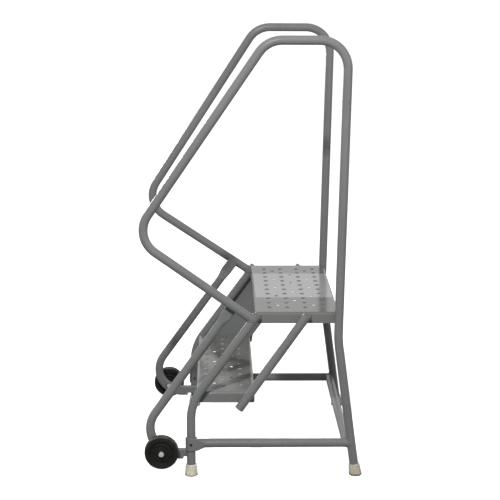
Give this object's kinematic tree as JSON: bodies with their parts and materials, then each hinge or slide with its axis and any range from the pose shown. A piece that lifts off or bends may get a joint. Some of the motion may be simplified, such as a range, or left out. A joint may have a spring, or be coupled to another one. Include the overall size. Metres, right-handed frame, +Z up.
{
  "type": "rolling warehouse ladder",
  "caption": "Step ladder of bent steel tube with a perforated platform above a lower step, looped handrails, rubber-tipped legs and wheels that roll when it is tilted.",
  "frame": {"origin": "bottom centre of the whole ladder's bounding box, on the floor", "axes": "+Z up, +X the way a person faces while climbing, from the step towards the rear legs, +Y to that person's left"},
  "size_m": [0.6816, 0.7252, 1.3395],
  "materials": {
    "frame": "grey powder coat, satin, on bent steel tube",
    "treads": "grey powder coat on pressed sheet steel, satin, lighter where feet polish it",
    "panels": "grey powder coat, satin, on flat sheet steel",
    "foot_rubber": "light grey-beige rubber, matte, moulded with fine upright ribs",
    "wheel_tread": "black moulded polyolefin, satin, with fine turning rings",
    "wheel_core": "black moulded polyolefin, satin, with a dished face",
    "sleeve": "plain steel, turned and lightly oiled",
    "zinc": "zinc plate, semi-bright",
    "rivet_steel": "steel painted with the frame, bore left dark"
  },
  "bodies": {
    "ladder": {"axle_bolts": "zinc", "axle_nuts": "zinc", "axle_sleeve_left": "sleeve", "axle_sleeve_right": "sleeve", "axle_spacers": "zinc", "axle_washers": "zinc", "base_rivets": "rivet_steel", "base_tube_left": "frame", "base_tube_right": "frame", "foot_tip_front_left": "foot_rubber", "foot_tip_front_right": "foot_rubber", "foot_tip_rear_left": "foot_rubber", "foot_tip_rear_right": "foot_rubber", "front_stringer_left": "frame", "front_stringer_right": "frame", "handrail_left": "frame", "handrail_right": "frame", "platform_tread": "treads", "rear_cross_tube": "frame", "side_plate_left": "panels", "step_brace_left": "frame", "step_brace_right": "frame", "step_tread": "treads", "tip_washers": "zinc", "wheel_arm_left": "frame", "wheel_arm_right": "frame"},
    "wheel_left": {"wheel_tyre_left": "wheel_tread", "wheel_core_left": "wheel_core"},
    "wheel_right": {"wheel_tyre_right": "wheel_tread", "wheel_core_right": "wheel_core"}
  },
  "joints": [
    {"name": "roll_left", "type": "hinge", "parent": "ladder", "child": "wheel_left", "pos_m": [-0.27587, 0.3363, 0.0815], "axis": [0, 1, 0], "continuous": true},
    {"name": "roll_right", "type": "hinge", "parent": "ladder", "child": "wheel_right", "pos_m": [-0.27587, -0.3363, 0.0815], "axis": [0, 1, 0], "continuous": true}
  ]
}
